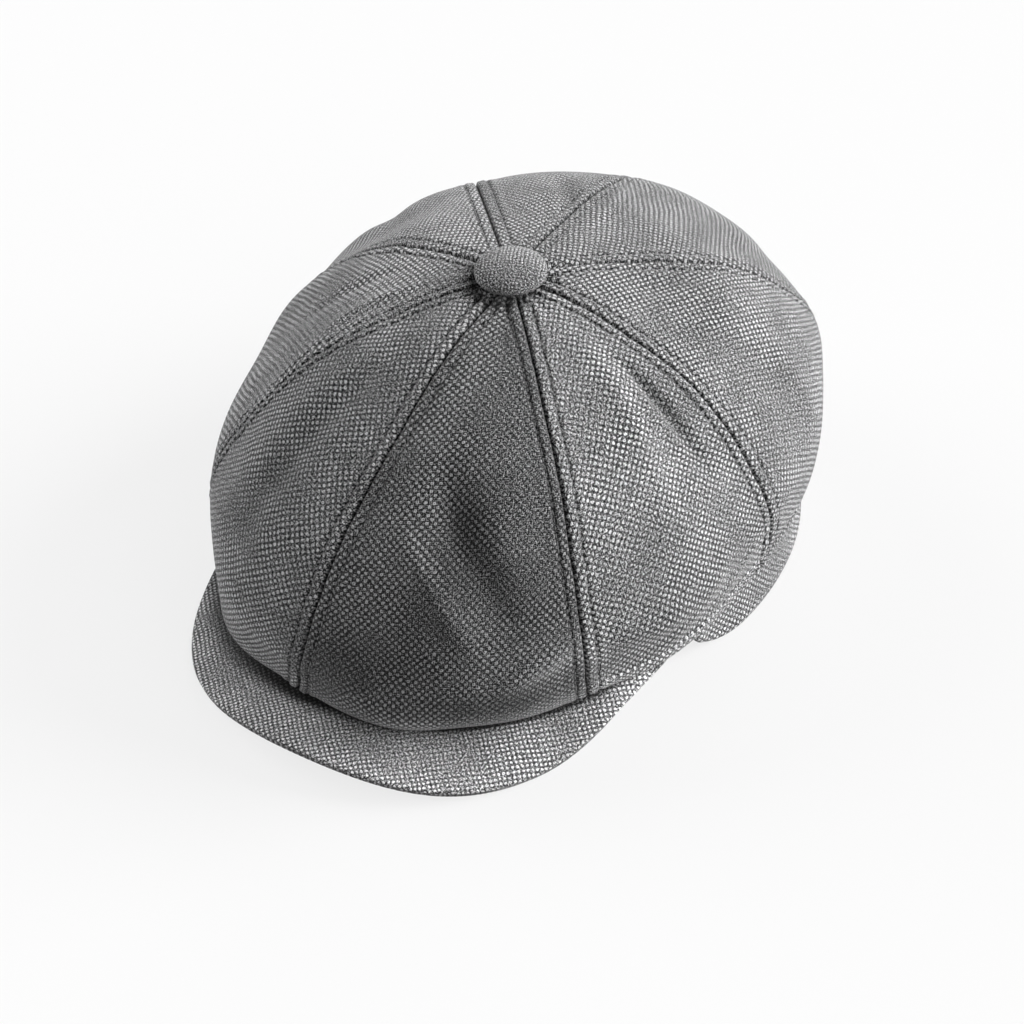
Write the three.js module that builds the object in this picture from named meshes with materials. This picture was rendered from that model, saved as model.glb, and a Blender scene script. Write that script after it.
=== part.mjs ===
// An eight-panel cloth cap with a covered button, a stitched peak and a two-layer band.
// Millimetres and degrees. +Z is up, -Y is the front, +X is the wearer's left side.
// Pieces are drawn from the middle of the head opening, on the surface that the cap rests on.
// A turn is an angle round the head: 0 is the front, 90 the wearer's left, 180 the back.
// A height down the crown is 0 at the button, 1 at the widest line and 2 at the hem.

import * as THREE from 'three';

const head = { halfLength: 95.3, halfWidth: 85.8, squareness: 2.1 };
const clearance = 0.3;
const cloth = 1.8;
const headband = { wall: 2.2, bottom: 5, tuck: 5 };
const backBand = { wall: 2.4, endTurn: 70, cornerRadius: 8 };
const hem = { front: 15.3, back: 26.4 };
const crown = {
  front: 140, back: 110, left: 96, right: 102, squareness: 2.12,
  top: 118.3, widest: 52.6, frontDrop: 17.5, leftDrop: 7.5,
  shoulder: 0.96, dome: 1.31, tipRadius: 6, puff: 2.2,
};
const button = { radius: 12.6, height: 8.2, rim: 2.2, left: -1.3, front: 12 };
const peak = {
  halfWidth: 84.6, chord: 47.8, front: 155.2, fullness: 0.72, thickness: 3,
  arch: 11, endRise: 8, endTurn: 62, turn: -2.3, sag: 0.8,
};

// How the crown's lower part swells out and how fast it falls, at the front and elsewhere.
const swell = { front: 0.3, elsewhere: 0.64 };
const fall = { front: 0.5, elsewhere: 0.39 };

// The seams, one every eighth of a turn from the front centre, with their wander in degrees.
const seams = [
  { atButton: 2, atWidest: -3, atHem: -8 },
  { atButton: -6, atWidest: -5, atHem: -4 },
  { atButton: -2, atWidest: -2, atHem: -2 },
  { atButton: 2, atWidest: 8, atHem: 8 },
  { atButton: 9, atWidest: 9, atHem: 8 },
  { atButton: 4, atWidest: -1, atHem: -3 },
  { atButton: -2, atWidest: 3, atHem: 5 },
  { atButton: 7, atWidest: 3, atHem: -1 },
];

// The panels in the order of the seams on their right-hand edge.
const panelNames = [
  'crown_panel_front_left', 'crown_panel_side_front_left',
  'crown_panel_side_back_left', 'crown_panel_back_left',
  'crown_panel_back_right', 'crown_panel_side_back_right',
  'crown_panel_side_front_right', 'crown_panel_front_right',
];

// Folds and dents: middle, lean in degrees for each step down, spread, and depth as a share of crown.top.
const folds = [
  { turn: 16, down: 0.64, lean: 25, wide: 4.5, long: 0.2, depth: 0.016 },
  { turn: 22, down: 0.62, lean: 20, wide: 5, long: 0.26, depth: -0.022 },
  { turn: -35, down: 1.25, lean: 0, wide: 9, long: 0.3, depth: -0.034 },
  { turn: -42, down: 0.92, lean: 0, wide: 12, long: 0.25, depth: 0.014 },
  { turn: 96, down: 1.5, lean: 0, wide: 10, long: 0.28, depth: -0.03 },
  { turn: 128, down: 0.97, lean: 0, wide: 13, long: 0.3, depth: 0.018 },
  { turn: -78, down: 0.75, lean: 0, wide: 12, long: 0.25, depth: 0.01 },
  { turn: 52, down: 0.9, lean: -8, wide: 15, long: 0.09, depth: 0.009 },
  { turn: 165, down: 1.1, lean: 10, wide: 12, long: 0.3, depth: -0.016 },
  { turn: -140, down: 1.15, lean: -10, wide: 12, long: 0.3, depth: -0.014 },
];

// Where the rows of a panel lie, as shares of the way from tip to widest line and from there to the hem.
const upperRows = [0, 0.12, 0.26, 0.4, 0.54, 0.67, 0.79, 0.9, 1];
const lowerRows = [0.02, 0.08, 0.2, 0.38, 0.58, 0.76, 0.9, 1];
const panelColumns = 10;

const { lerp, degToRad, smoothstep } = THREE.MathUtils;

// The distance from the upright axis to an oval with four half-lengths.
function ovalReach(turn, front, back, left, right, squareness) {
  const ahead = Math.cos(turn);
  const leftward = Math.sin(turn);
  const along = Math.abs(ahead) / (ahead > 0 ? front : back);
  const across = Math.abs(leftward) / (leftward > 0 ? left : right);
  return (along ** squareness + across ** squareness) ** (-1 / squareness);
}

// A point at a turn, a distance from the upright axis and a height.
function placed(turn, reach, height) {
  return new THREE.Vector3(reach * Math.sin(turn), -reach * Math.cos(turn), height);
}

// The oval round the head, grown by what lies between it and the wanted face.
function headReach(turn, growth) {
  const along = head.halfLength + growth;
  const across = head.halfWidth + growth;
  return ovalReach(turn, along, along, across, across, head.squareness);
}

const headbandOuter = headband.wall;
const backBandInner = headbandOuter + clearance;
const hemGrowth = headbandOuter + clearance;

function frontness(turn) {
  return (1 + Math.cos(turn)) / 2;
}

function hemHeight(turn) {
  return lerp(hem.back, hem.front, frontness(turn));
}

function widestHeight(turn) {
  return crown.widest - crown.frontDrop * Math.cos(turn) - crown.leftDrop * Math.sin(turn);
}

function seamTurn(index, down) {
  const seam = seams[index % seams.length];
  const wander = down < 1
    ? lerp(seam.atButton, seam.atWidest, down)
    : lerp(seam.atWidest, seam.atHem, down - 1);
  return degToRad(index * 360 / seams.length + wander);
}

// How far the cloth is pushed out or in by the folds near this place.
function foldLift(turn, down) {
  const fade = 1 - smoothstep(down, 1.3, 1.9);
  let lift = 0;
  for (const fold of folds) {
    const middle = fold.turn + fold.lean * (down - fold.down);
    const apart = ((THREE.MathUtils.radToDeg(turn) - middle + 540) % 360) - 180;
    const across = apart / fold.wide;
    const along = (down - fold.down) / fold.long;
    lift += fold.depth * crown.top * Math.exp(-across * across - along * along);
  }
  return lift * fade;
}

// The crown's reach and height at a turn and a height down it, drawn smaller by the inset.
// Outward and upward say which way the cloth faces there.
function crownSection(turn, down, inset) {
  const reach = ovalReach(turn, crown.front - inset, crown.back - inset,
    crown.left - inset, crown.right - inset, crown.squareness);
  const widest = widestHeight(turn);
  if (down <= 1) {
    const outward = Math.sin(down * Math.PI / 2);
    const upward = Math.cos(down * Math.PI / 2);
    const height = lerp(widest, crown.top - inset, upward ** crown.dome);
    return { radius: reach * outward ** crown.shoulder, height, outward, upward };
  }
  const arc = Math.min(1, down - 1) * Math.PI / 2;
  const nose = frontness(turn) ** 2;
  const outward = Math.max(0, Math.cos(arc));
  const swollen = outward ** lerp(swell.elsewhere, swell.front, nose);
  const fallen = Math.sin(arc) ** lerp(fall.elsewhere, fall.front, nose);
  const radius = lerp(headReach(turn, hemGrowth), reach, swollen);
  return { radius, height: lerp(widest, hemHeight(turn) + inset, fallen), outward, upward: 0 };
}

// A point of the crown's face, swollen by the lift, and moved with the button near the top.
function crownPoint(turn, down, inset, lift) {
  const { radius, height, outward, upward } = crownSection(turn, down, inset);
  const point = placed(turn, radius + lift * outward, height + lift * upward);
  const topShare = down < 1 ? 1 - outward : 0;
  point.x += button.left * topShare;
  point.y -= button.front * topShare;
  return point;
}

// The height down the crown at which a panel's cut tip lies.
function tipDown(turn) {
  const reach = ovalReach(turn, crown.front, crown.back, crown.left, crown.right, crown.squareness);
  return Math.asin((crown.tipRadius / reach) ** (1 / crown.shoulder)) / (Math.PI / 2);
}

// A closed solid between two grids of points that face each other.
function slab(outer, inner, closed) {
  const rows = outer[0].length;
  const columns = outer.length;
  const positions = [...outer.flat(), ...inner.flat()].flatMap((point) => point.toArray());
  const at = (side, i, j) => side * columns * rows + (i % columns) * rows + j;
  const triangles = [];
  const quad = (a, b, c, d) => triangles.push(a, b, c, a, c, d);
  const spans = closed ? columns : columns - 1;
  for (let i = 0; i < spans; i += 1) {
    for (let j = 0; j < rows - 1; j += 1) {
      quad(at(0, i, j), at(0, i, j + 1), at(0, i + 1, j + 1), at(0, i + 1, j));
      quad(at(1, i, j), at(1, i + 1, j), at(1, i + 1, j + 1), at(1, i, j + 1));
    }
    quad(at(0, i, 0), at(0, i + 1, 0), at(1, i + 1, 0), at(1, i, 0));
    quad(at(0, i, rows - 1), at(1, i, rows - 1), at(1, i + 1, rows - 1), at(0, i + 1, rows - 1));
  }
  for (let j = 0; !closed && j < rows - 1; j += 1) {
    quad(at(0, 0, j), at(1, 0, j), at(1, 0, j + 1), at(0, 0, j + 1));
    quad(at(0, columns - 1, j), at(0, columns - 1, j + 1), at(1, columns - 1, j + 1), at(1, columns - 1, j));
  }
  return solid(positions, triangles);
}

// A geometry whose faces all look outwards.
function solid(positions, triangles) {
  const corner = (index) => new THREE.Vector3().fromArray(positions, index * 3);
  let volume = 0;
  for (let i = 0; i < triangles.length; i += 3) {
    const [a, b, c] = [corner(triangles[i]), corner(triangles[i + 1]), corner(triangles[i + 2])];
    volume += a.dot(b.cross(c));
  }
  const geometry = new THREE.BufferGeometry();
  geometry.setAttribute('position', new THREE.Float32BufferAttribute(positions, 3));
  geometry.setIndex(volume > 0 ? triangles : [...triangles].reverse());
  geometry.computeVertexNormals();
  return geometry;
}

// One wedge of the crown, from its cut tip under the button to the hem.
function panelGeometry(index) {
  const grid = (inset) => {
    const columns = [];
    for (let i = 0; i <= panelColumns; i += 1) {
      const across = i / panelColumns;
      const row = (down) => {
        const near = seamTurn(index, down);
        const far = seamTurn(index + 1, down);
        const margin = clearance / 2 / crownSection((near + far) / 2, down, cloth).radius;
        const turn = lerp(near + margin, far - margin, across);
        const swellHere = Math.sin(Math.PI * across) * Math.sin(Math.PI * Math.min(1, down / 1.9));
        return crownPoint(turn, down, inset, crown.puff * swellHere + foldLift(turn, down));
      };
      const tip = tipDown(lerp(seamTurn(index, 0), seamTurn(index + 1, 0), across));
      const upper = upperRows.map((share) => row(lerp(tip, 1, share)));
      const lower = lowerRows.map((share) => row(1 + share));
      columns.push([...upper, ...lower]);
    }
    return columns;
  };
  return slab(grid(0), grid(cloth), false);
}

// A low dome on a flat round foot.
function buttonGeometry() {
  const profile = [new THREE.Vector2(0, 0), new THREE.Vector2(button.radius - button.rim, 0)];
  const steps = 8;
  for (let i = 0; i <= steps; i += 1) {
    const arc = i / steps * Math.PI / 2;
    profile.push(new THREE.Vector2(button.radius * Math.cos(arc) ** 0.8,
      button.rim + (button.height - button.rim) * Math.sin(arc)));
  }
  profile[profile.length - 1].x = 0;
  return new THREE.LatheGeometry(profile, 28).rotateX(Math.PI / 2);
}

// The inner ring, closed round the head and tucked up behind the hem.
function headbandGeometry() {
  const columns = 72;
  const wall = (growth) => {
    const grid = [];
    for (let i = 0; i < columns; i += 1) {
      const turn = i / columns * 2 * Math.PI;
      const reach = headReach(turn, growth);
      const top = hemHeight(turn) + cloth + headband.tuck;
      grid.push([placed(turn, reach, headband.bottom), placed(turn, reach, top)]);
    }
    return grid;
  };
  return slab(wall(headbandOuter), wall(0), true);
}

// The outer band round the back, with its lower front corners rounded.
function backBandGeometry() {
  const start = degToRad(backBand.endTurn);
  const end = 2 * Math.PI - start;
  const cornerTurn = backBand.cornerRadius / head.halfWidth;
  const cornerSteps = 5;
  const turns = [];
  for (let i = 0; i < cornerSteps; i += 1) {
    turns.push(start + cornerTurn * (1 - Math.cos(i / cornerSteps * Math.PI / 2)));
  }
  const middleSteps = 44;
  for (let i = 0; i <= middleSteps; i += 1) {
    turns.push(lerp(start + cornerTurn, end - cornerTurn, i / middleSteps));
  }
  for (let i = cornerSteps - 1; i >= 0; i -= 1) {
    turns.push(end - cornerTurn * (1 - Math.cos(i / cornerSteps * Math.PI / 2)));
  }
  const lowerEdge = (turn) => {
    const fromEnd = Math.min(turn - start, end - turn) / cornerTurn;
    const across = Math.max(0, 1 - fromEnd);
    return backBand.cornerRadius * (1 - Math.sqrt(1 - across * across));
  };
  const wall = (growth) => turns.map((turn) => {
    const reach = headReach(turn, growth);
    return [placed(turn, reach, lowerEdge(turn)), placed(turn, reach, hemHeight(turn) - clearance)];
  });
  return slab(wall(backBandInner + backBand.wall), wall(backBandInner), false);
}

// The peak's rim at a share of the way from its front (0) to an end (1 or -1).
function peakRim(share) {
  const arc = Math.abs(share) * 90;
  const x = peak.halfWidth * Math.sin(degToRad(share * 90));
  const y = -lerp(peak.chord, peak.front, Math.max(0, Math.cos(degToRad(arc))) ** peak.fullness);
  const low = 60;
  const rise = arc < low
    ? peak.arch * Math.cos(degToRad(arc * 90 / low)) ** 2.9
    : peak.endRise * Math.sin(degToRad((arc - low) * 90 / (90 - low))) ** 2;
  return new THREE.Vector3(x, y, peak.thickness / 2 + rise)
    .applyAxisAngle(new THREE.Vector3(0, 0, 1), degToRad(peak.turn));
}

// The stiff peak, sewn to the headband's front and arched from side to side.
function peakGeometry() {
  const half = peak.thickness / 2;
  const roundedEdge = [
    { back: 1, thick: 1 }, { back: 0.5, thick: 0.87 }, { back: 0.13, thick: 0.5 }, { back: 0, thick: 0.15 },
  ];
  const columns = 32;
  const wall = (side) => {
    const grid = [];
    for (let i = 0; i <= columns; i += 1) {
      const share = i / columns * 2 - 1;
      const rootTurn = degToRad(share * peak.endTurn + peak.turn);
      const rootHeight = hemHeight(rootTurn) - clearance - peak.sag - half;
      const root = placed(rootTurn, headReach(rootTurn, hemGrowth), rootHeight);
      const rim = peakRim(share);
      const length = root.distanceTo(rim);
      const at = (along, thick) => {
        const point = root.clone().lerp(rim, along);
        point.z += side * half * thick + peak.sag * Math.sin(Math.PI * along);
        return point;
      };
      const flat = [0, 0.25, 0.5, 0.75].map((share4) => at(share4 * (1 - half / length), 1));
      const edge = roundedEdge.map((row) => at(1 - row.back * half / length, row.thick));
      grid.push([...flat, ...edge]);
    }
    return grid;
  };
  return slab(wall(1), wall(-1), false);
}

function meshOf(name, geometry, colour, roughness) {
  const material = new THREE.MeshStandardMaterial({ color: colour, roughness, metalness: 0 });
  material.name = `${name}_cloth`;
  const mesh = new THREE.Mesh(geometry, material);
  mesh.name = name;
  return mesh;
}

const cap = new THREE.Group();
cap.name = 'eight_panel_cap';
panelNames.forEach((name, index) => cap.add(meshOf(name, panelGeometry(index), 0x58595b, 0.95)));
const topButton = meshOf('crown_button', buttonGeometry(), 0x5c5d5f, 0.95);
topButton.position.set(button.left, -button.front, crown.top + clearance);
cap.add(topButton);
cap.add(meshOf('peak', peakGeometry(), 0x525355, 0.95));
cap.add(meshOf('headband', headbandGeometry(), 0x4e4f51, 0.95));
cap.add(meshOf('back_band', backBandGeometry(), 0x565759, 0.95));

// The library's origin is the middle of the bounding box's underside.
const bounds = new THREE.Box3().setFromObject(cap);
const middle = bounds.getCenter(new THREE.Vector3());
cap.position.set(-middle.x, -middle.y, -bounds.min.z);

export default cap;
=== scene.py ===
"""Dresses an eight-panel cloth cap: sewn panels, covered button, stiff peak, headband and back band.

Sizes are millimetres and degrees, measured from the middle of the head opening on the floor.
+Z is up, -Y is the front and +X is the wearer's left. A turn is an angle round the head: 0 is
the front, 90 the wearer's left and 180 the back. A place down the crown is 0 at the button,
1 at the widest line and 2 at the hem. Meshes are written in metres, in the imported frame.
"""

import math

import bpy
import numpy as np
from mathutils import Matrix, Vector


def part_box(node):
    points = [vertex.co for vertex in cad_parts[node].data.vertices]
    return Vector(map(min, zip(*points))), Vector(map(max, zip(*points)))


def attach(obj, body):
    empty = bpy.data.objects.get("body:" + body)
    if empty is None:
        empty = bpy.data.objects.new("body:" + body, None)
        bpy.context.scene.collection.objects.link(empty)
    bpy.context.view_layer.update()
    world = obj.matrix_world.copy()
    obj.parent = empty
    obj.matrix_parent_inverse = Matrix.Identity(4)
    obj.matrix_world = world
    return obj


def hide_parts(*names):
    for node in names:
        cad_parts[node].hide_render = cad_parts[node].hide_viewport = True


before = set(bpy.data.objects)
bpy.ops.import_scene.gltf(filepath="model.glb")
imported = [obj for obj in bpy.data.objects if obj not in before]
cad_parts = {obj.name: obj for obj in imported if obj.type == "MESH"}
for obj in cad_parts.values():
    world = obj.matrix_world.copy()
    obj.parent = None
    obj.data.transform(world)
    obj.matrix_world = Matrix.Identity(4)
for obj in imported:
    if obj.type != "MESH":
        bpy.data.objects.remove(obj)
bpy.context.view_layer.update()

# The cap's own dimensions.
head = {"half_length": 95.3, "half_width": 85.8, "squareness": 2.1}
clearance = 0.3
cloth = 1.8
headband = {"wall": 2.2, "bottom": 5, "tuck": 5}
back_band = {"wall": 2.4, "end_turn": 67.5, "corner_length": 20, "corner_height": 10,
             "slant": 5.5, "flare": 1.9, "flare_height": 9}
hem = {"front": 15.3, "back": 26.4}
crown = {
    "front": 140, "back": 110, "left": 96, "right": 102, "squareness": 2.12,
    "top": 118.3, "widest": 52.6, "front_drop": 17.5, "left_drop": 7.5,
    "shoulder": 0.96, "dome": 1.31, "tip_radius": 0.6, "puff": 2.2,
}
button = {"radius": 12.6, "height": 7.2, "rim": 2.4, "tuck": 3.4, "left": -1.3, "front": 12}
peak = {
    "half_width": 84.6, "chord": 47.8, "front": 155.2, "fullness": 0.72, "thickness": 3,
    "arch": 11, "end_rise": 8, "end_turn": 62, "turn": -1.8, "sag": 0.8,
}
peak_groove = {"depth": 0.5, "width": 0.25, "dark": 0.6, "dark_width": 0.5}

# A painted shadow on the peak under the front of the crown's overhang: by turn, its reach, softness and
# darkness.
front_gap_shadow = {
    "turns": (-54, -38, -20, -6, 9, 20, 31, 42, 58),
    "reach": (34, 33, 35, 36.8, 33.8, 28.5, 22.8, 18.8, 13),
    "soft": (9, 13, 10, 6, 4.5, 3.4, 2.8, 2.4, 1.8),
    "dark": (0.5, 0.75, 0.92, 0.98, 0.98, 0.98, 0.94, 0.8, 0.6),
}

# How the crown's lower part swells out and how fast it falls, at the front and elsewhere.
swell = {"front": 0.3, "elsewhere": 0.64}
fall = {"front": 0.5, "elsewhere": 0.39}

# The seams from the front centre on, with their wander in degrees at the button, widest line and hem.
seams = [
    (2, -3, -8), (-6, -5, -4), (-2, -2, -2), (2, 8, 8),
    (9, 9, 8), (4, -1, -3), (-2, 3, 5), (7, 3, -1),
]

# The panels in the order of the seams on their right-hand edge, and how bright each cut of cloth is:
# partly the wool's own shade and partly painted light and shade for how the light falls on each panel.
panels = [
    ("crown_panel_front_left", 0.62), ("crown_panel_side_front_left", 1.1),
    ("crown_panel_side_back_left", 1.0), ("crown_panel_back_left", 0.86),
    ("crown_panel_back_right", 0.9), ("crown_panel_side_back_right", 1.1),
    ("crown_panel_side_front_right", 1.15), ("crown_panel_front_right", 0.9),
]
# How much lighter the peak's cloth is: painted light for the light that falls on the peak.
peak_painted_light = 1.56

# Patches of painted shade and painted light on the wool's folds and hollows: turn, place down,
# width in degrees, length, change of brightness.
painted_shade_patches = [
    (20, 0.58, 7, 0.18, -0.55), (6, 0.86, 15, 0.13, -0.42), (32, 0.75, 8, 0.2, -0.3),
    (36, 0.89, 10, 0.05, 0.35), (24, 1.0, 16, 0.07, -0.45),
    (-20, 0.52, 8, 0.22, -0.25), (76, 0.48, 5, 0.16, -0.25), (56, 0.98, 16, 0.22, -0.32),
    (112, 1.25, 30, 0.3, -0.12), (125, 0.32, 14, 0.1, -0.2), (-162, 0.36, 9, 0.14, -0.2),
    (-36, 0.75, 8, 0.3, 0.15), (66, 0.4, 8, 0.2, 0.12),
    (18, 1.3, 22, 0.16, 0.8), (-30, 1.0, 12, 0.15, 0.28), (66.9, 1.25, 0.6, 0.05, -0.6),
    (65.2, 1.36, 0.8, 0.07, -0.55),
]

# Painted shade in the seam line's groove, in the dimples under the stitches and on the cloth under the
# hem's roll, and a painted shadow at the front of the button's foot.
painted_shading = {"groove": 0.5, "groove_width": 0.7, "stitches": 0.4, "stitches_width": 0.7, "under_hem": 0.3,
        "foot": 0.9, "foot_width": 2.6}

# Large folds and dents: turn, place down, lean in degrees a step down, width, length, share of crown top.
folds = [
    (-35, 1.25, 0, 9, 0.3, -0.034), (-42, 0.92, 0, 12, 0.25, 0.014),
    (97, 1.5, 0, 10, 0.28, -0.045), (124, 0.97, 0, 11, 0.25, -0.006), (124, 1.25, 0, 14, 0.3, -0.012),
    (-79, 0.68, 0, 11, 0.25, 0.018), (52, 0.9, -8, 15, 0.09, 0.009), (-68, 0.85, 0, 22, 0.4, -0.024),
    (-26, 1.05, 0, 11, 0.25, -0.026), (12, 1.4, 0, 16, 0.25, -0.02),
    (-128, 0.5, 0, 40, 0.22, -0.012), (-176, 0.62, 0, 11, 0.26, 0.012), (-153, 0.62, 0, 12, 0.16, -0.012),
    (168, 0.74, 0, 9, 0.22, -0.006), (150, 0.7, 0, 10, 0.2, -0.014),
    (139, 0.93, 0, 10, 0.24, 0.019), (-106, 0.57, 0, 15, 0.16, -0.032),
    (165, 1.1, 10, 12, 0.3, -0.016), (-140, 1.15, -10, 12, 0.3, -0.014),
]

# Creases from one turn and place down to another, with half-width and height in millimetres.
creases = [
    (10, 0.55, 22, 0.78, 3.2, 2.8), (15, 0.44, 27, 0.72, 5.5, -4.8), (2, 0.84, 15, 0.84, 8, -4.2),
    (-19, 0.3, -21, 0.74, 7, -2.6), (74, 0.34, 77, 0.62, 3.4, -2.4), (66, 0.28, 62, 0.66, 7, 1.3),
    (86, 0.4, 88, 0.66, 5, 1.1), (27, 0.91, 38, 0.85, 3.2, 2.8), (43, 0.87, 60, 0.95, 3.6, 2.3),
    (50, 1.12, 74, 0.9, 4.5, 0.9), (58, 1.3, 84, 1.0, 4, 0.7), (-46, 0.42, -58, 0.22, 5, 1.2),
    (-60, 0.5, -72, 0.28, 5, -1.2), (-157, 0.45, -168, 0.26, 6, -1.8), (-176, 0.46, -185, 0.24, 4, 1.2),
    (117, 0.27, 136, 0.38, 7, -1.4), (118, 0.6, 112, 0.95, 7, 1.2), (150, 0.5, 158, 0.85, 6, -1.2),
    (-110, 0.6, -118, 0.95, 7, -1.4), (-125, 1.0, -150, 1.1, 5, 1.0), (67, 1.25, 64.5, 1.4, 0.9, -1.6),
]

# How the cloth is sewn: sizes across a seam, stitches and gathers.
seam_look = {
    "groove": 1.0, "groove_width": 0.6, "band": 0.65, "band_width": 4.1, "band_edge": 0.8,
    "dimple": 0.6, "dimple_at": 4.2, "dimple_width": 0.6, "shoulder": 0.3, "shoulder_at": 6,
    "shoulder_width": 1.5, "roll": 1.1, "pucker": 0.12, "at_back": 0.65,
}
stitch = {
    "pitch": 2.6, "length": 1.9, "thickness": 0.3, "sides": 6, "rings": 5,
    "from_button": 17, "above_hem": 9,
}
gather = {"height": 0.55, "reach": 7, "counts": (19, 31)}

# The rolled hem, and the stitched edge beside the peak with the turns where it starts, is full and ends;
# its light is a painted highlight on the ridge and its dark is painted shade in the groove under it.
hem_look = {"ridge": 1.1, "at": 2.0, "width": 1.5, "hollow": 0.8, "hollow_at": 6.2, "hollow_width": 2.2}
side_hem = {
    "above": 9.5, "turns": (38, 42, 74, 96), "ridge": 1.2, "width": 0.9, "light": 0.5,
    "groove": 1.1, "groove_under": 2.2, "groove_width": 1.1, "dark": 0.55,
}

# The spacing of the weave's dots and of its threads, and the colours of its two yarns.
weave_pitch = 2.75
thread_pitch = 0.62
light_yarn = (0.55, 0.55, 0.555)
dark_yarn = (0.004, 0.004, 0.0045)
peak_dark_yarn = (0.013, 0.013, 0.0135)

# The photographed view: turn and height of the camera, its tilt, distance and focal length in pixels.
view = {
    "turn": 33.6, "height": 41.2, "tilt": -2.0, "distance": 1079, "focal": 2900,
    "middle_across": 541.9, "middle_down": 518.5, "image": 1024,
}

# The lights: turn, height above the floor, strength, and how wide each looks, in degrees.
lights = [
    ("key", 132, 22, 7.6, 42), ("front", 76, 34, 2.0, 50),
    ("back", 188, 24, 1.8, 50), ("right", 274, 22, 3.6, 50),
]

headband_low, headband_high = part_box("headband")
head_middle = np.array([
    (headband_low.x + headband_high.x) / 2, (headband_low.y + headband_high.y) / 2, 0.0])


def lerp(start, end, share):
    """The value at a share of the way from start to end."""
    return start + (end - start) * share


def smooth_step(value, low, high):
    """0 below low, 1 above high and 3t^2 - 2t^3 between them."""
    share = np.clip((value - low) / (high - low), 0, 1)
    return share * share * (3 - 2 * share)


def bell(value, middle, width):
    """exp(-((value - middle) / width)^2)."""
    return np.exp(-(((value - middle) / width) ** 2))


def oval_reach(turn, front, back, left, right, squareness):
    """Distance from the upright axis to a squarish oval: (|cos/a|^n + |sin/b|^n)^(-1/n)."""
    ahead, leftward = np.cos(turn), np.sin(turn)
    along = np.abs(ahead) / np.where(ahead > 0, front, back)
    across = np.abs(leftward) / np.where(leftward > 0, left, right)
    return (along**squareness + across**squareness) ** (-1 / squareness)


def placed(turn, reach, height):
    """Points at a turn, a distance from the upright axis and a height."""
    turn, reach, height = np.broadcast_arrays(turn, reach, height)
    return np.stack([reach * np.sin(turn), -reach * np.cos(turn), height], -1)


def head_reach(turn, growth):
    """The oval round the head, grown by what lies between it and the wanted face."""
    along, across = head["half_length"] + growth, head["half_width"] + growth
    return oval_reach(turn, along, along, across, across, head["squareness"])


def frontness(turn):
    """1 at the front and 0 at the back, as a cosine."""
    return (1 + np.cos(turn)) / 2


def apart_from_front(turn):
    """Degrees from the front, the same on both sides."""
    return np.abs((np.degrees(turn) + 180) % 360 - 180)


def hem_height(turn):
    """The hem's height, from its back value to its front value by frontness."""
    return lerp(hem["back"], hem["front"], frontness(turn))


def widest_height(turn):
    """The height of the widest line, lower at the front and on the wearer's left."""
    return crown["widest"] - crown["front_drop"] * np.cos(turn) - crown["left_drop"] * np.sin(turn)


def seam_turn(index, down):
    """The turn of a seam: an eighth of a circle each, plus its wander at that place down."""
    at_button, at_widest, at_hem = seams[index % len(seams)]
    upper = lerp(at_button, at_widest, down)
    lower = lerp(at_widest, at_hem, down - 1)
    return np.radians(index * 360 / len(seams) + np.where(down < 1, upper, lower))


def fold_lift(turn, down):
    """The sum of the large folds, each a bell across and along it, faded out above the hem."""
    lift = 0
    for fold_turn, fold_down, lean, wide, long, depth in folds:
        middle = fold_turn + lean * (down - fold_down)
        apart = (np.degrees(turn) - middle + 540) % 360 - 180
        lift = lift + depth * crown["top"] * bell(apart, 0, wide) * bell(down, fold_down, long)
    return lift * (1 - smooth_step(down, 1.3, 1.9))


def crease_lift(turn, along, along_of):
    """Soft creases: a bell across each crease's line, eased in and out at its two ends."""
    lift = 0
    for from_turn, from_down, to_turn, to_down, width, height in creases:
        run = np.array([math.radians(to_turn - from_turn) * head["half_length"],
                        along_of(to_down) - along_of(from_down)])
        length = np.linalg.norm(run)
        unit = run / length
        past = (turn - math.radians(from_turn) + math.pi) % (2 * math.pi) - math.pi
        x = past * head["half_length"]
        y = along - along_of(from_down)
        forward = (x * unit[0] + y * unit[1]) / length
        sideways = x * unit[1] - y * unit[0]
        ends = smooth_step(forward, -0.3, 0.35) * (1 - smooth_step(forward, 0.65, 1.3))
        lift = lift + height * bell(sideways, 0, width) * ends
    return lift


def crown_section(turn, down):
    """The crown's reach and height. Above the widest line they are powers of the sine and cosine
    of the place down, and below it they ease from the widest line to the head by powers too."""
    reach = oval_reach(turn, crown["front"], crown["back"], crown["left"], crown["right"],
                       crown["squareness"])
    widest = widest_height(turn)
    arc = np.clip(down, 0, 1) * np.pi / 2
    upward = np.where(down < 1, np.cos(arc), 0)
    over = {
        "radius": reach * np.sin(arc) ** crown["shoulder"],
        "height": lerp(widest, crown["top"], upward ** crown["dome"]),
        "outward": np.sin(arc),
    }
    low_arc = np.clip(down - 1, 0, 1) * np.pi / 2
    nose = frontness(turn) ** 2
    outward = np.maximum(0, np.cos(low_arc))
    swollen = outward ** lerp(swell["elsewhere"], swell["front"], nose)
    fallen = np.sin(low_arc) ** lerp(fall["elsewhere"], fall["front"], nose)
    under = {
        "radius": lerp(head_reach(turn, headband["wall"] + clearance), reach, swollen),
        "height": lerp(widest, hem_height(turn), fallen),
        "outward": outward,
    }
    chosen = {key: np.where(down <= 1, over[key], under[key]) for key in over}
    return {**chosen, "upward": upward + 0 * chosen["radius"]}


def crown_point(turn, down, lift):
    """A point of the crown's face, pushed out by the lift and moved with the button near the top."""
    section = crown_section(turn, down)
    point = placed(turn, section["radius"] + lift * section["outward"],
                   section["height"] + lift * section["upward"])
    top_share = np.where(down < 1, 1 - section["outward"], 0)
    point[..., 0] += button["left"] * top_share
    point[..., 1] -= button["front"] * top_share
    return point


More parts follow.
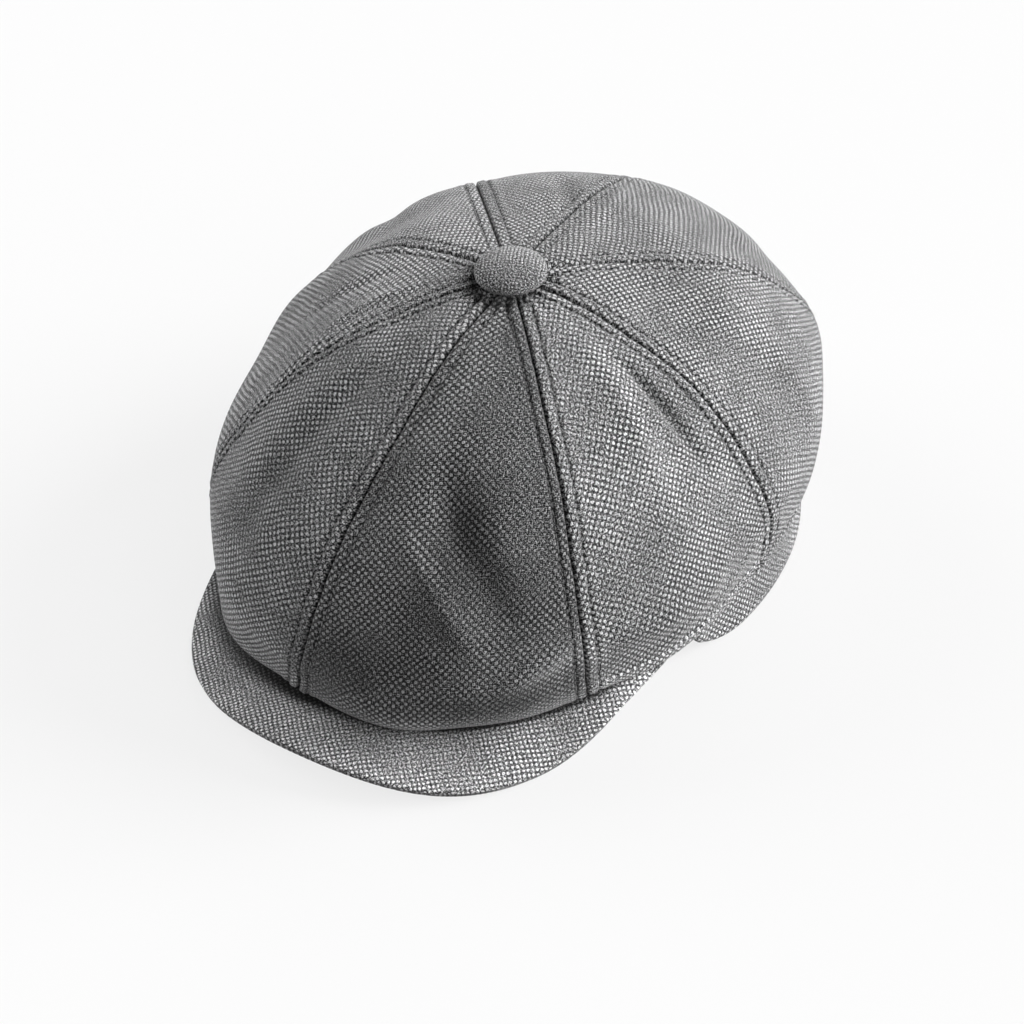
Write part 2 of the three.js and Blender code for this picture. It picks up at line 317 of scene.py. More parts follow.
def run_length(points, axis=0):
    """The length run along an axis of a grid of points, starting at 0."""
    steps = np.linalg.norm(np.diff(points, axis=axis), axis=-1)
    total = np.cumsum(steps, axis=axis)
    return np.concatenate([np.zeros_like(np.take(total, [0], axis)), total], axis)


def facing_of(points):
    """Unit normals of a grid: its row step crossed with its column step."""
    normal = np.cross(np.gradient(points, axis=1), np.gradient(points, axis=0))
    return normal / np.linalg.norm(normal, axis=-1, keepdims=True)


def even_shares(points, count, crowding=1.0):
    """Parameter shares at which a dense line is cut into even steps, closer near its end."""
    length = run_length(points)
    wanted = 1 - (1 - np.linspace(0, 1, count)) ** crowding
    return np.interp(wanted, length / length[-1], np.linspace(0, 1, len(length)))


def crown_rows(count):
    """Places down the crown in even steps of cloth, the same for every panel, and their lengths.
    A dense run is spaced by powers that follow how fast the section's own powers move."""
    tip = math.asin((crown["tip_radius"] / crown["front"]) ** (1 / crown["shoulder"])) / (math.pi / 2)
    upper = np.linspace(tip, 1, 1500)
    quick = np.linspace(0, 1, 4000)
    lower = 1 + quick**3 / (quick**3 + (1 - quick) ** 6)
    dense = np.concatenate([upper, lower[1:]])
    around = np.radians(np.arange(0, 360, 30))
    length = run_length(crown_point(around[:, None], dense[None, :], 0), axis=1).mean(0)
    wanted = length[-1] * (1 - (1 - np.linspace(0, 1, count)) ** 1.2)
    return np.interp(wanted, length, dense), wanted


def softness(points):
    """Slow unevenness of hand-shaped cloth: a sum of sine waves through space, in millimetres."""
    chance = np.random.default_rng(7)
    lift = 0
    for _ in range(14):
        direction = chance.normal(size=3)
        wave = chance.uniform(26, 75)
        direction *= 2 * np.pi / wave / np.linalg.norm(direction)
        lift = lift + wave / 75 * np.sin(points @ direction + chance.uniform(0, 2 * np.pi))
    return 0.3 * lift


def seam_relief(apart, along, index):
    """The pressed and topstitched seam: a raised band with a groove on the seam line, a dimple under
    each row of stitches and a soft shoulder, uneven along the seam by sine waves."""
    look = seam_look
    phase = 1.7 * (index % len(seams))
    uneven = 1 + 0.22 * np.sin(along / 3.6 + phase) + 0.18 * np.sin(along / 6.1 + 2.3 * phase)
    beat = np.cos(2 * np.pi * along / stitch["pitch"])
    waves = np.sin(along / 1.35 + phase) + np.sin(along / 2.1 + 3 * phase)
    band_end = look["band_width"] + 0.15 * waves
    band = 1 - smooth_step(apart, band_end - look["band_edge"], band_end + look["band_edge"])
    return (
        -look["groove"] * bell(apart, 0, look["groove_width"])
        + look["band"] * uneven * band
        - look["dimple"] * bell(apart, look["dimple_at"], look["dimple_width"])
        + look["shoulder"] * uneven * bell(apart, look["shoulder_at"], look["shoulder_width"])
        + look["pucker"] * beat * bell(apart, look["dimple_at"], 1.3)
        + look["pucker"] * waves * bell(apart, 2.4, 3)
    )


def panel_shade(shade, turn, down, near, far, along):
    """How bright a panel's cloth is: its own shade, times each patch of painted shade and painted light
    as a bell across and along it, and times painted shade in the seam line's groove, in the dimples
    under the stitches and below the hem's roll and, as a bell in the distance from the button's
    middle, a painted shadow at the front left of the button's foot."""
    for patch_turn, patch_down, wide, long, change in painted_shade_patches:
        apart = (np.degrees(turn) - patch_turn + 540) % 360 - 180
        shade = shade * (1 + change * bell(apart, 0, wide) * bell(down, patch_down, long))
    calm = smooth_step(along, 8, 16)
    for apart in (near, far):
        line = painted_shading["groove"] * bell(apart, 0, painted_shading["groove_width"])
        row = painted_shading["stitches"] * bell(apart, seam_look["dimple_at"], painted_shading["stitches_width"])
        shade = shade * (1 - calm * (line + row))
    foot = painted_shading["foot"] * frontness(turn + 0.6) * bell(along, button["radius"], painted_shading["foot_width"])
    return shade * (1 - foot) * (1 - painted_shading["under_hem"] * smooth_step(down, 1.9, 1.99))


def gathers(turn, along):
    """Small pleats that radiate from the button: cosines round it, fading with the distance."""
    beyond = np.maximum(0, along - button["radius"])
    fade = np.exp(-beyond / gather["reach"]) * smooth_step(along, 6, 12)
    few, many = gather["counts"]
    return gather["height"] * fade * (np.cos(few * turn + 1) + 0.6 * np.cos(many * turn + 2))


def hem_relief(turn, height):
    """The rolled hem beside and behind the peak: a ridge just above the hem and a hollow over it."""
    above = height - hem_height(turn)
    return smooth_step(apart_from_front(turn), 40, 52) * (
        hem_look["ridge"] * bell(above, hem_look["at"], hem_look["width"])
        - hem_look["hollow"] * bell(above, hem_look["hollow_at"], hem_look["hollow_width"]))


def side_hem_line(turn, height):
    """The stitched edge of the turned-in cloth on both sides, level above the hem: its ridge and
    the groove under it as two bells in height that fade out at both ends."""
    apart = apart_from_front(turn)
    above = height - hem_height(turn) - side_hem["above"]
    rise, full, fall_off, gone = side_hem["turns"]
    ends = smooth_step(apart, rise, full) * (1 - smooth_step(apart, fall_off, gone))
    ridge = ends * bell(above, 0, side_hem["width"])
    groove = ends * bell(above, -side_hem["groove_under"], side_hem["groove_width"])
    return ridge, groove


def rolled(edge_share):
    """Half the cloth's thickness near an edge: a quarter circle from nothing to the full half."""
    near = np.clip(edge_share, 0, 1)
    return np.sqrt(1 - (1 - near) ** 2)


def corners(grid, outward):
    """The four corners of each cell of a grid, in the order that faces outwards or inwards."""
    ordered = [grid[:-1, :-1], grid[:-1, 1:], grid[1:, 1:], grid[1:, :-1]]
    if not outward:
        ordered.reverse()
    return np.stack(ordered, 2).reshape(-1, 4, *grid.shape[2:])


def add_mesh(name, points, faces, face_maps, shade=1.0):
    """Writes points in millimetres, four-cornered faces, their cloth map and the brightness of
    their cut of cloth, with its painted light and shade, as one smooth object."""
    mesh = bpy.data.meshes.new(name)
    mesh.vertices.add(len(points))
    mesh.vertices.foreach_set("co", (points * 0.001 + head_middle).astype(np.float32).ravel())
    mesh.loops.add(faces.size)
    mesh.polygons.add(len(faces))
    mesh.polygons.foreach_set("loop_start", np.arange(0, faces.size, 4, dtype=np.int32))
    mesh.polygons.foreach_set("vertices", faces.astype(np.int32).ravel())
    mesh.polygons.foreach_set("use_smooth", np.ones(len(faces), bool))
    mesh.update(calc_edges=True)
    layer = mesh.uv_layers.new(name="cloth_map")
    layer.data.foreach_set("uv", (face_maps * 0.001).astype(np.float32).ravel())
    tone = mesh.attributes.new("tone_and_painted_light", "FLOAT", "POINT")
    tone.data.foreach_set("value", np.broadcast_to(shade, len(points)).astype(np.float32))
    mesh.validate()
    piece = bpy.data.objects.new(name, mesh)
    bpy.context.scene.collection.objects.link(piece)
    return piece


def add_cloth(name, outside, inside, cloth_map, ring=False, shade=1.0):
    """A closed piece of cloth from two facing grids that share the points of their free edges.
    A ring also joins its last column to its first, and its map then has one column more."""
    outer = np.arange(outside.shape[0] * outside.shape[1]).reshape(outside.shape[:2])
    free = (slice(None) if ring else slice(1, -1), slice(1, -1))
    inner = outer.copy()
    inner[free] = outer.size + np.arange(inner[free].size).reshape(inner[free].shape)
    points = np.concatenate([outside.reshape(-1, 3), inside[free].reshape(-1, 3)])
    shade = np.broadcast_to(shade, outer.shape)
    shade = np.concatenate([shade.ravel(), shade[free].ravel()])
    walls = [outer, inner]
    if ring:
        walls = [np.concatenate([wall, wall[:1]]) for wall in walls]
    faces = np.concatenate([corners(walls[0], True), corners(walls[1], False)])
    face_maps = np.concatenate([corners(cloth_map, True), corners(cloth_map, False)])
    return add_mesh(name, points, faces, face_maps, shade)


def panel_map(base, widths):
    """Where each point lies on the flat cut of cloth. Across is the length from the middle line
    and down is the length along it, less the rise of the row's own curve, u^2 k / 2."""
    middle = base[base.shape[0] // 2]
    down = run_length(middle)
    radius = np.hypot(middle[:, 0] - button["left"], middle[:, 1] + button["front"])
    bend = np.clip(np.gradient(radius) / np.gradient(down) / np.maximum(radius, 8), -0.02, 0.12)
    across = widths - widths[-1] / 2
    flat_across = across * (1 - (across * bend) ** 2 / 6)
    flat_down = down - bend * across**2 / 2
    return np.stack([flat_across, flat_down], -1)


def panel_shape(index, shade, down, along):
    """One wedge of the crown: outer face, inner face, cloth map, distances from its two seams and
    the brightness of its cloth with its painted light and shade."""
    step = np.linspace(0, 1, 121)[:, None]
    across = step - 0.6 * np.sin(2 * np.pi * step) / (2 * np.pi)
    turn = lerp(seam_turn(index, down), seam_turn(index + 1, down), across)
    folded = fold_lift(turn, down)
    puffed = crown["puff"] * np.sin(np.pi * across) * np.sin(np.pi * np.minimum(1, down / 1.9))
    base = crown_point(turn, down + 0 * across, folded + puffed)
    facing = facing_of(crown_point(turn, down + 0 * across, folded))
    near = run_length(base)
    far = near[-1] - near
    calm = smooth_step(along, 5, 16)
    pressed = calm * lerp(seam_look["at_back"], 1, frontness(turn))
    along_of = lambda place: np.interp(place, down, along)
    ridge, groove = side_hem_line(turn, base[..., 2])
    relief = (
        pressed * seam_relief(near, along, index)
        + pressed * seam_relief(far, along, index + 1)
        + gathers(turn, along)
        + crease_lift(turn, along, along_of)
        + calm * softness(base)
        + hem_relief(turn, base[..., 2])
        + side_hem["ridge"] * ridge - side_hem["groove"] * groove
    )
    tone = panel_shade(shade, turn, down, near, far, along)
    # Painted highlight along the side hem's ridge and painted shade in the groove under it.
    tone = tone * (1 + side_hem["light"] * ridge - side_hem["dark"] * groove)
    edge = np.minimum(np.minimum(near, far) / seam_look["roll"], (along[-1] - along) / (cloth / 2))
    half = cloth / 2 * rolled(edge)
    middle = (relief - cloth / 2)[..., None] * facing + base
    outside = middle + half[..., None] * facing
    inside = middle - half[..., None] * facing
    return outside, inside, panel_map(base, near), near, far, tone


def line_beside(outside, distance, wanted):
    """The line on a panel's face at a wanted distance from a seam, cut from each row in turn."""
    after = np.clip((distance < wanted).sum(0), 1, len(distance) - 1)
    rows = np.arange(distance.shape[1])
    low, high = distance[after - 1, rows], distance[after, rows]
    share = ((wanted - low) / (high - low))[:, None]
    return lerp(outside[after - 1, rows], outside[after, rows], share)


def stitch_row(line, facing):
    """Stitches along a line: short threads, each a ring of points carried along it, thick in its
    middle and sunk into the cloth at both ends by a sine."""
    length = run_length(line)
    count = int(length[-1] / stitch["pitch"])
    share = np.linspace(0.04, 0.96, stitch["rings"])
    starts = np.arange(count)[:, None] * stitch["pitch"]
    places = starts + (stitch["pitch"] - stitch["length"]) / 2 + stitch["length"] * share
    at = lambda values: np.stack(
        [np.interp(places, length, values[:, axis]) for axis in range(3)], -1)
    centre, up = at(line), at(facing)
    up /= np.linalg.norm(up, axis=-1, keepdims=True)
    forward = np.gradient(centre, axis=1)
    sideways = np.cross(forward, up)
    sideways /= np.linalg.norm(sideways, axis=-1, keepdims=True)
    bulge = np.sin(np.pi * share)
    around = np.arange(stitch["sides"]) * 2 * np.pi / stitch["sides"]
    radius = (stitch["thickness"] / 2 * bulge**0.5)[None, :, None, None]
    sunk = (stitch["thickness"] / 2 * (bulge - 0.6))[None, :, None]
    spoke = (np.cos(around)[:, None] * sideways[:, :, None]
             + np.sin(around)[:, None] * up[:, :, None])
    points = (centre + sunk * up)[:, :, None] + radius * spoke
    return points


def add_stitches(name, rows):
    """All the stitches of the seams as one piece of closed threads."""
    threads = np.concatenate(rows)
    count, rings, sides = threads.shape[:3]
    index = np.arange(rings * sides).reshape(rings, sides)
    tube = np.concatenate([index, index[:, :1]], 1)
    one = corners(tube, True)
    fan = lambda ring: np.array([[ring[0], ring[1], ring[2], ring[3]],
                                 [ring[0], ring[3], ring[4], ring[5]]])
    one = np.concatenate([one, fan(index[0][::-1]), fan(index[-1])])
    faces = (np.arange(count)[:, None, None] * rings * sides + one).reshape(-1, 4)
    points = threads.reshape(-1, 3)
    return add_mesh(name, points, faces, points[faces][..., :2])


def peak_rim(share):
    """The peak's rim from one end (-1) over its front (0) to the other end (1)."""
    arc = np.abs(share) * 90
    x = peak["half_width"] * np.sin(np.radians(share * 90))
    fullness = np.maximum(0, np.cos(np.radians(arc))) ** peak["fullness"]
    y = -lerp(peak["chord"], peak["front"], fullness)
    low = 60
    middle = peak["arch"] * np.maximum(0, np.cos(np.radians(arc * 90 / low))) ** 2.9
    ends = peak["end_rise"] * np.sin(np.radians((arc - low) * 90 / (90 - low))) ** 2
    z = peak["thickness"] / 2 + np.where(arc < low, middle, ends)
    turn = math.radians(peak["turn"])
    return np.stack([x * math.cos(turn) - y * math.sin(turn),
                     x * math.sin(turn) + y * math.cos(turn), z], -1)


def make_peak():
    """The stiff peak: straight lines from the headband to the rim, sagging by a sine, with a rolled
    rim whose two cloths meet in a fine groove."""
    dense = np.linspace(-1, 1, 6001)
    share = lerp(-1, 1, even_shares(peak_rim(dense), 241))
    root_turn = np.radians(share * peak["end_turn"] + peak["turn"])
    half = peak["thickness"] / 2
    root_height = hem_height(root_turn) - clearance - peak["sag"] - half
    root = placed(root_turn, head_reach(root_turn, headband["wall"] / 2), root_height)
    rim = peak_rim(share)
    step = np.linspace(0, 1, 91)
    along = 1 - (1 - step) ** 1.6
    middle = lerp(root[:, None], rim[:, None], along[None, :, None])
    middle[..., 2] += peak["sag"] * np.sin(np.pi * along)
    facing = facing_of(middle)
    length = np.linalg.norm(rim - root, axis=-1)[:, None]
    from_end = run_length(rim)[:, None]
    edge = np.minimum(length * (1 - along), np.minimum(from_end, from_end[-1] - from_end))
    edge = np.minimum(edge, length * along + half)
    uneven = 0.35 * softness(middle) * smooth_step(length * along, 3, 20)
    thick = half * rolled(edge / half)
    from_rim = length * (1 - along)
    notch = peak_groove["depth"] * bell(from_rim, 0, peak_groove["width"])
    pull = -notch[..., None] * ((rim - root) / length)[:, None]
    base = middle + pull + uneven[..., None] * facing
    outside = base + thick[..., None] * facing
    inside = base - thick[..., None] * facing
    run = run_length(outside, axis=1)
    direction = ((rim - root) / length)[:, None, :2]
    cloth_map = root[:, None, :2] + direction * run[..., None]
    # Painted shadow on the peak where the crown's front overhangs it, and a dark line along the rim's
    # seam.
    by_turn = lambda key: np.interp(
        np.degrees(root_turn), front_gap_shadow["turns"], front_gap_shadow[key])[:, None]
    painted_shadow = 1 - smooth_step((length * along - by_turn("reach")) / by_turn("soft"), 0.1, 1)
    dark = by_turn("dark")
    seam = bell(from_rim, 0, peak_groove["dark_width"]) * peak_groove["dark"]
    shade = peak_painted_light * (1 - dark * painted_shadow) * (1 - seam)
    return add_cloth("peak_cover", outside, inside, cloth_map, shade=shade)


def make_headband():
    """The inner ring: an oval wall with a rolled lower edge, tucked up behind the hem."""
    turn = np.linspace(0, 2 * np.pi, 361)[:-1, None]
    step = np.linspace(0, 1, 27)[None, :]
    share = step**1.3
    top = hem_height(turn) + cloth + headband["tuck"]
    wall = headband["wall"]
    bottom = headband["bottom"] + 0.25 * np.sin(9 * turn) * np.sin(4 * turn + 1)
    height = lerp(bottom, top, share)[:, ::-1]
    middle = placed(turn, head_reach(turn, wall / 2), height)
    facing = middle * np.array([1, 1, 0])
    facing /= np.linalg.norm(facing, axis=-1, keepdims=True)
    edge = np.minimum(height - height[:, -1:], height[:, :1] - height)
    thick = wall / 2 * rolled(edge / (wall / 2))
    roll = 0.25 * bell(height - bottom, 2.2, 1.2) + 0.2 * softness(middle)
    base = middle + roll[..., None] * facing
    outside = base + thick[..., None] * facing
    inside = base - thick[..., None] * facing
    girth = run_length(np.concatenate([middle, middle[:1]])[:, 0])
    repeats = round(girth[-1] / weave_pitch)
    across = girth / girth[-1] * repeats * weave_pitch
    down = np.concatenate([height, height[:1]])
    cloth_map = np.stack([across[:, None] + 0 * down, -down], -1)
    return add_cloth("headband_cloth_ring", outside, inside, cloth_map, ring=True)


def make_back_band():
    """The outer band round the back: its ends lean back towards the top, and its lower front
    corners are quarter ovals."""
    wall = back_band["wall"]
    upness = np.linspace(1, 0, 41)[None, :] ** 1.25
    step = np.linspace(0, 1, 321)[:, None]
    across = step - 0.5 * np.sin(2 * np.pi * step) / (2 * np.pi)
    start = np.radians(back_band["end_turn"] + back_band["slant"] * upness**1.2)
    turn = lerp(start, 2 * np.pi - start, across)
    reach = head_reach(turn, headband["wall"] + clearance + wall / 2)
    from_end = np.minimum(turn - start, 2 * np.pi - start - turn) * reach
    inward = np.clip(1 - from_end / back_band["corner_length"], 0, 1)
    low = back_band["corner_height"] * (1 - np.sqrt(1 - inward**2))
    top = hem_height(turn) - clearance
    height = lerp(low, top, upness)
    middle = placed(turn, reach, height)
    facing = middle * np.array([1, 1, 0])
    facing /= np.linalg.norm(facing, axis=-1, keepdims=True)
    edge = np.minimum(np.minimum(height - height[:, -1:], top - height), from_end)
    thick = wall / 2 * rolled(edge / (wall / 2))
    flare = back_band["flare"] * bell(height, 0, back_band["flare_height"]) * smooth_step(from_end, 0, 25)
    roll = flare + 0.3 * bell(height - low, 2.2, 1.3) + 0.25 * softness(middle)
    roll += 0.5 * bell(from_end, 2.5, 1.6)
    base = middle + roll[..., None] * facing
    outside = base + thick[..., None] * facing
    inside = base - thick[..., None] * facing
    cloth_map = np.stack([turn * head["half_length"], -height], -1)
    return add_cloth("back_band_cloth", outside, inside, cloth_map)


def make_button():
    """The covered button: a low dome turned round its axis, pulled in under its rim by fine
    pleats, and flat where it sits on the crown."""
    around = np.linspace(0, 2 * np.pi, 121)[:-1, None]
    dense = np.linspace(0, 1, 2000)
    arc = np.pi / 2 * dense
    radius, height, rim = button["radius"], button["height"], button["rim"]
    tuck = button["tuck"]
    dome = np.stack([radius * np.sin(arc) ** 0.75, rim + (height - rim) * np.cos(arc) ** 0.85], -1)
    under = np.stack([radius - tuck * (1 - np.cos(arc)), rim * (1 - np.sin(arc)) - 0.4 * dense], -1)
    foot = np.stack([(radius - tuck) * (1 - dense), np.full(2000, -0.4)], -1)
    profile = np.concatenate([dome, under[1:], foot[1:]])
    share = even_shares(profile, 64) * (len(profile) - 1)
    section = np.stack([np.interp(share, np.arange(len(profile)), profile[:, k]) for k in (0, 1)], -1)
    section[0, 0] = section[-1, 0] = 0.02
    reach, level = section[:, 0][None], section[:, 1][None]
    pleats = 0.16 * np.cos(17 * around + 0.7 * np.sin(3 * around)) * bell(level, 0.6, 1.6)
    reach = reach + pleats * smooth_step(reach, 6, 11)
    uneven = 0.12 * np.sin(2 * around + 1) * smooth_step(reach, 1, 9) * smooth_step(level, 0, 4)
    points = np.stack([reach * np.cos(around), reach * np.sin(around), level + uneven], -1)
    points += np.array([button["left"], -button["front"], crown["top"] + clearance])
    run = run_length(section)[None]
    turned = np.linspace(0, 2 * np.pi, 121)[:, None]
    cloth_map = np.stack([run * np.cos(turned), run * np.sin(turned)], -1)
    index = np.arange(points.shape[0] * points.shape[1]).reshape(points.shape[:2])
    wrapped = np.concatenate([index, index[:1]])
    faces = corners(wrapped, True)
    face_maps = corners(cloth_map, True)
    return add_mesh("button_cover", points.reshape(-1, 3), faces, face_maps)


class Signal:
    """One output of a material's nodes. Arithmetic on it adds the Math nodes that it needs."""

    def __init__(self, sheet, socket):
        self.sheet = sheet
        self.socket = socket

    def math(self, operation, *values):
        settings = {"operation": operation}
        return self.sheet.node("ShaderNodeMath", settings, dict(enumerate(values)))

    def __add__(self, other):
        return self.math("ADD", self, other)

    def __sub__(self, other):
        return self.math("SUBTRACT", self, other)

    def __mul__(self, other):
        return self.math("MULTIPLY", self, other)

    def __rsub__(self, other):
        return self.math("SUBTRACT", other, self)

    __radd__ = __add__
    __rmul__ = __mul__

    def cosine(self):
        return self.math("COSINE", self)

    def between(self, low, high, start=0.0, end=1.0):
        """0 to 1 as the value goes from low to high, eased at both ends, then scaled."""
        settings = {"interpolation_type": "SMOOTHSTEP"}
        values = {"Value": self, "From Min": low, "From Max": high, "To Min": start, "To Max": end}
        return self.sheet.node("ShaderNodeMapRange", settings, values)


class Sheet:
    """The node tree of a material or of the surround, filled through one method."""

    def __init__(self, owner):
        owner.use_nodes = True
        self.owner = owner
        self.tree = owner.node_tree
        self.tree.nodes.clear()

    def node(self, kind, settings, values, output=0):
        """Adds a node, sets its settings first, then its sockets, and gives one of its outputs."""
        made = self.tree.nodes.new(kind)
        for key, value in settings.items():
            setattr(made, key, value)
        for key, value in values.items():
            socket = made.inputs[key] if isinstance(key, int) else self.find(made.inputs, key)
            if isinstance(value, Signal):
                self.tree.links.new(value.socket, socket)
            else:
                socket.default_value = value
        outputs = made.outputs
        if output is None:
            return made
        return Signal(self, outputs[output] if isinstance(output, int) else self.find(outputs, output))

    @staticmethod
    def find(sockets, key):
        return next(s for s in sockets if s.identifier == key or (s.name == key and s.enabled))

    def surfaced(self, values):
        """Closes the tree with a Principled surface and gives the finished material."""
        surface = self.node("ShaderNodeBsdfPrincipled", {}, values)
        self.node("ShaderNodeOutputMaterial", {}, {"Surface": surface}, None)
        return self.owner


def woven_cloth(name, light, dark, shift=(0.0, 0.0), steady=0.5, turned=0.0, pitch=weave_pitch):
    """Wool in a bird's-eye weave: small light dots in a centred square lattice on a mottled ground.
    The dots are the high parts of a product of cosines of the cloth map, each with a faint pit,
    threads are a finer product at a slant, and noise makes dots, yarns and fibres uneven. The
    piece's own brightness, with its painted light and shade, multiplies the colour."""
    sheet = Sheet(bpy.data.materials.new(name))
    flat = sheet.node("ShaderNodeUVMap", {"uv_map": "cloth_map"}, {})
    flat = sheet.node("ShaderNodeMapping", {"vector_type": "POINT"}, {
        "Vector": flat, "Location": (shift[0] * 0.001, shift[1] * 0.001, 0),
        "Rotation": (0, 0, math.radians(turned)), "Scale": (1000, 1000, 1000)})

    def noise(scale, detail=2.0, roughness=0.5, output="Fac"):
        values = {"Vector": flat, "Scale": scale, "Detail": detail, "Roughness": roughness}
        return sheet.node("ShaderNodeTexNoise", {"noise_dimensions": "2D"}, values, output)

    def vector(operation, first, second):
        return sheet.node("ShaderNodeVectorMath", {"operation": operation}, {0: first, 1: second})

    def wander(scale, reach):
        middled = vector("SUBTRACT", noise(scale, 2, 0.5, "Color"), (0.5, 0.5, 0.5))
        return vector("MULTIPLY", middled, (reach, reach, 0))

    def lattice(across, down, pitch):
        wave = 2 * math.pi / pitch
        return (across * wave).cosine() * (down * wave).cosine()

    yarn = vector("ADD", vector("ADD", flat, wander(0.07, 1.3)), wander(0.5, 0.5))
    across = sheet.node("ShaderNodeSeparateXYZ", {}, {0: yarn}, "X")
    down = sheet.node("ShaderNodeSeparateXYZ", {}, {0: yarn}, "Y")
    spots = lattice(across, down, pitch)
    slant = lattice(across + down, across - down, thread_pitch * 2)
    cells = noise(0.62, 1, 0.5)
    clumps = noise(1.15, 1, 0.6)
    fibre = noise(1.9, 2, 0.8)
    patch = noise(0.05, 2, 0.6)
    order = noise(0.028, 3, 0.6).between(0.34, 0.61, steady - 0.13, steady + 0.4)
    dot = spots.between(0.08, 0.7) * (0.45 + cells * 1.1) * order
    pit = spots.between(0.78, 0.97) * order
    grain = (fibre - 0.5) * (4.3 - order * 1.9) + (clumps - 0.5) * 0.7 + slant * 0.24
    lightness = 0.01 + dot * 1.02 - pit * 0.55 + grain + (patch - 0.5) * 0.2
    colour = sheet.node("ShaderNodeMix", {"data_type": "RGBA", "clamp_factor": True}, {
        "Factor_Float": lightness, "A_Color": (*dark, 1), "B_Color": (*light, 1)}, "Result_Color")
    shade = sheet.node("ShaderNodeAttribute", {"attribute_name": "tone_and_painted_light"}, {}, "Fac")
    colour = sheet.node("ShaderNodeVectorMath", {"operation": "SCALE"}, {0: colour, "Scale": shade})
    rough = 0.98 - dot * 0.12
    height = dot + fibre * 0.9 - pit * 0.4
    bump = sheet.node("ShaderNodeBump", {}, {
        "Strength": 0.8, "Distance": 0.0004, "Height": height})
    return sheet.surfaced({
        "Base Color": colour, "Roughness": rough, "Normal": bump, "Sheen Weight": 0.12,
        "Sheen Roughness": 0.35, "Sheen Tint": (1, 1, 1, 1), "Specular IOR Level": 0.12})


def make_crown(material, stitch_material):
    """The eight panels, each standing for its own solid, and the topstitching on their seams."""
    down, along = crown_rows(251)
    first = int(np.searchsorted(along, stitch["from_button"]))
    last = int(np.searchsorted(along, along[-1] - stitch["above_hem"]))
    stitched = slice(first, last)
    rows = []
    for index, (name, shade) in enumerate(panels):
        outside, inside, cloth_map, near, far, tone = panel_shape(index, shade, down, along)
        offset = np.array([37.0 * index, 61.0 * index])
        piece = add_cloth(name.replace("panel", "cloth"), outside, inside, cloth_map + offset,
                          shade=tone)
        dress(piece, material, "crown_cloth", name)
        facing = facing_of(outside)
        for distance, way in ((near, 1), (far, -1)):
            line = line_beside(outside[::way], distance[::way], seam_look["dimple_at"])
            lift = line_beside(facing[::way], distance[::way], seam_look["dimple_at"])
            rows.append(stitch_row(line[stitched], lift[stitched]))
    stitches = add_stitches("crown_topstitching", rows)
    stitches.data.materials.append(stitch_material)
    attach(stitches, "root")


def dress(piece, material, slot, *nodes):
    """Gives a piece its material and puts it in place of its solids. The slot argument is not used."""
    piece.data.materials.append(material)
    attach(piece, "root")
    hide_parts(*nodes)


def thread_material():
    """Grey sewing thread, its twist a fine wave in Object coordinates."""
    sheet = Sheet(bpy.data.materials.new("grey_thread"))
    place = sheet.node("ShaderNodeTexCoord", {}, {}, "Object")
    twist = sheet.node("ShaderNodeTexNoise", {}, {"Vector": place, "Scale": 2600, "Detail": 2})
    colour = sheet.node("ShaderNodeMix", {"data_type": "RGBA"}, {
        "Factor_Float": twist, "A_Color": (0.07, 0.07, 0.072, 1), "B_Color": (0.34, 0.34, 0.345, 1)},
        "Result_Color")
    bump = sheet.node("ShaderNodeBump", {}, {"Strength": 0.5, "Distance": 0.0001, "Height": twist})
    return sheet.surfaced({
        "Base Color": colour, "Roughness": 0.8, "Normal": bump, "Sheen Weight": 0.2})


def make_floor():
    """A plain pale floor, lit from within a little so that the shadow on it stays faint."""
    reach = 30
    points = np.array([
        [-reach, -reach, 0], [reach, -reach, 0], [reach, reach, 0], [-reach, reach, 0]], float)
    mesh = bpy.data.meshes.new("floor")
    mesh.from_pydata(points.tolist(), [], [[0, 1, 2, 3]])
    floor = bpy.data.objects.new("floor", mesh)
    bpy.context.scene.collection.objects.link(floor)
    sheet = Sheet(bpy.data.materials.new("pale_floor"))
    mesh.materials.append(sheet.surfaced({
        "Base Color": (0.1, 0.1, 0.1, 1), "Roughness": 0.9, "Specular IOR Level": 0.0,
        "Emission Color": (1, 1, 1, 1), "Emission Strength": 0.78}))


def direction_from(turn, height):
    """The unit vector towards a turn round the cap and a height above the floor, in degrees."""
    turn, height = math.radians(turn), math.radians(height)
    return Vector((math.sin(turn) * math.cos(height), -math.cos(turn) * math.cos(height),
                   math.sin(height)))


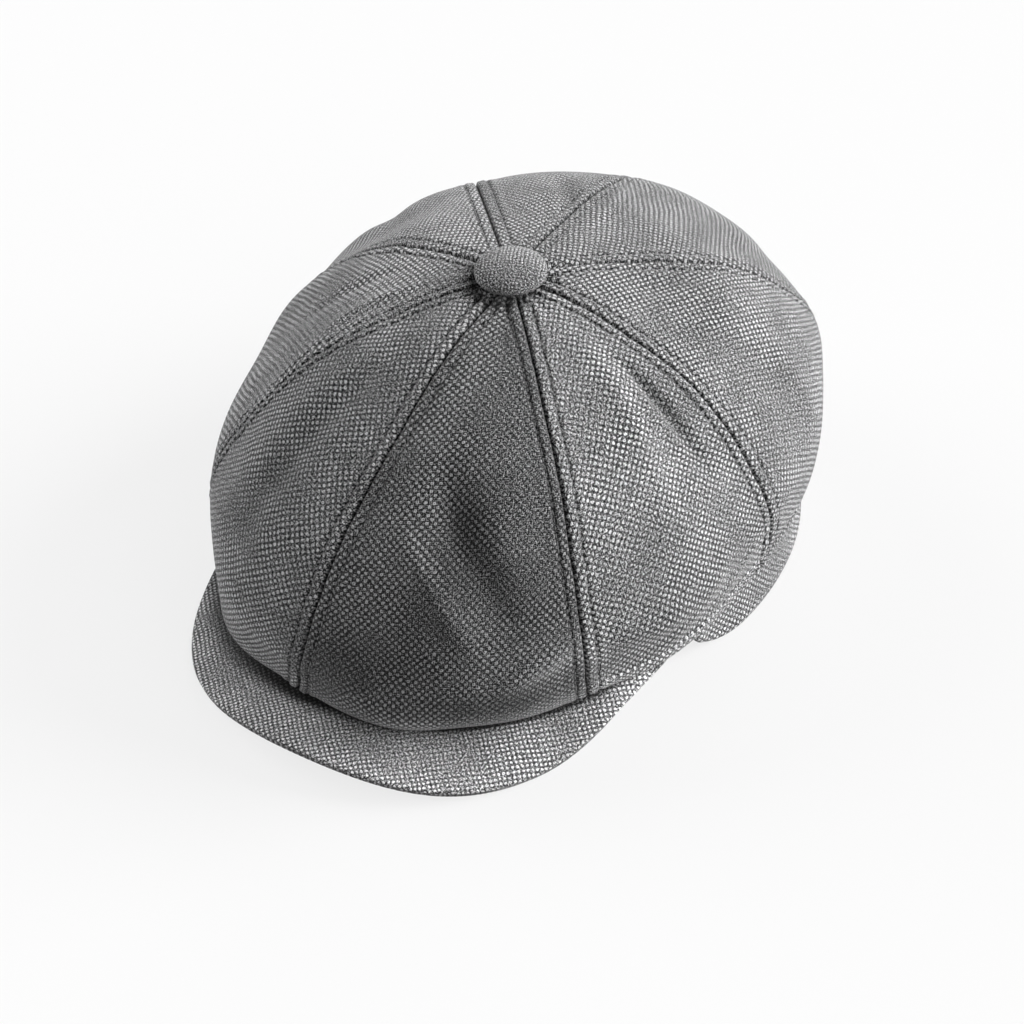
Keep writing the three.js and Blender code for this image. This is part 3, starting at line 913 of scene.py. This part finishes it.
def make_lights():
    """A broad low key from the wearer's left, three softer lights round the cap, and a surround that
    is dim above and white at the horizon."""
    for name, turn, height, strength, spread in lights:
        lamp = bpy.data.lights.new(name, "SUN")
        lamp.energy = strength
        lamp.angle = math.radians(spread)
        light = bpy.data.objects.new(name, lamp)
        light.rotation_mode = "QUATERNION"
        light.rotation_quaternion = direction_from(turn, height).to_track_quat("Z", "Y")
        bpy.context.scene.collection.objects.link(light)
    surround = bpy.data.worlds.new("surround")
    bpy.context.scene.world = surround
    sheet = Sheet(surround)
    place = sheet.node("ShaderNodeTexCoord", {}, {}, "Generated")
    upward = sheet.node("ShaderNodeSeparateXYZ", {}, {0: place}, "Z")
    glow = upward.between(0.06, 0.2, 1.0, 0.1)
    background = sheet.node("ShaderNodeBackground", {}, {"Color": (1, 1, 1, 1), "Strength": glow})
    sheet.node("ShaderNodeOutputWorld", {}, {"Surface": background}, None)


def make_camera():
    """The photograph's viewpoint: aimed level with the head opening, tilted a little, and
    framed by a small lens shift."""
    data = bpy.data.cameras.new("camera")
    camera = bpy.data.objects.new("camera", data)
    bpy.context.scene.collection.objects.link(camera)
    back = direction_from(view["turn"], view["height"])
    turn, tilt = math.radians(view["turn"]), math.radians(view["tilt"])
    level = Vector((math.cos(turn), math.sin(turn), 0))
    upright = back.cross(level)
    right = level * math.cos(tilt) + upright * math.sin(tilt)
    up = upright * math.cos(tilt) - level * math.sin(tilt)
    place = Vector(head_middle) + back * view["distance"] * 0.001
    axes = Matrix((right, up, back)).transposed().to_4x4()
    camera.matrix_world = Matrix.Translation(place) @ axes
    data.sensor_width = 36
    data.lens = view["focal"] / view["image"] * data.sensor_width
    data.shift_x = (view["image"] / 2 - view["middle_across"]) / view["image"]
    data.shift_y = (view["middle_down"] - view["image"] / 2) / view["image"]
    bpy.context.scene.camera = camera
    bpy.context.scene.view_settings.view_transform = "Standard"


make_camera()
make_floor()
make_lights()
crown_wool = woven_cloth("crown_wool", light_yarn, dark_yarn)
make_crown(crown_wool, thread_material())
button_wool = woven_cloth(
    "button_wool", light_yarn, dark_yarn, shift=(1.1, 0.4), steady=0.3, turned=20, pitch=1.9)
dress(make_button(), button_wool, "button_cloth", "crown_button")
peak_wool = woven_cloth(
    "peak_wool", light_yarn, peak_dark_yarn, shift=(0.7, 0.3), steady=0.55, pitch=2.3)
dress(make_peak(), peak_wool, "peak_cloth", "peak")
headband_wool = woven_cloth("headband_wool", light_yarn, dark_yarn, shift=(0.2, 1.0))
dress(make_headband(), headband_wool, "headband_cloth", "headband")
back_band_wool = woven_cloth("back_band_wool", light_yarn, dark_yarn, shift=(0.5, 0.9))
dress(make_back_band(), back_band_wool, "back_band_cloth", "back_band")
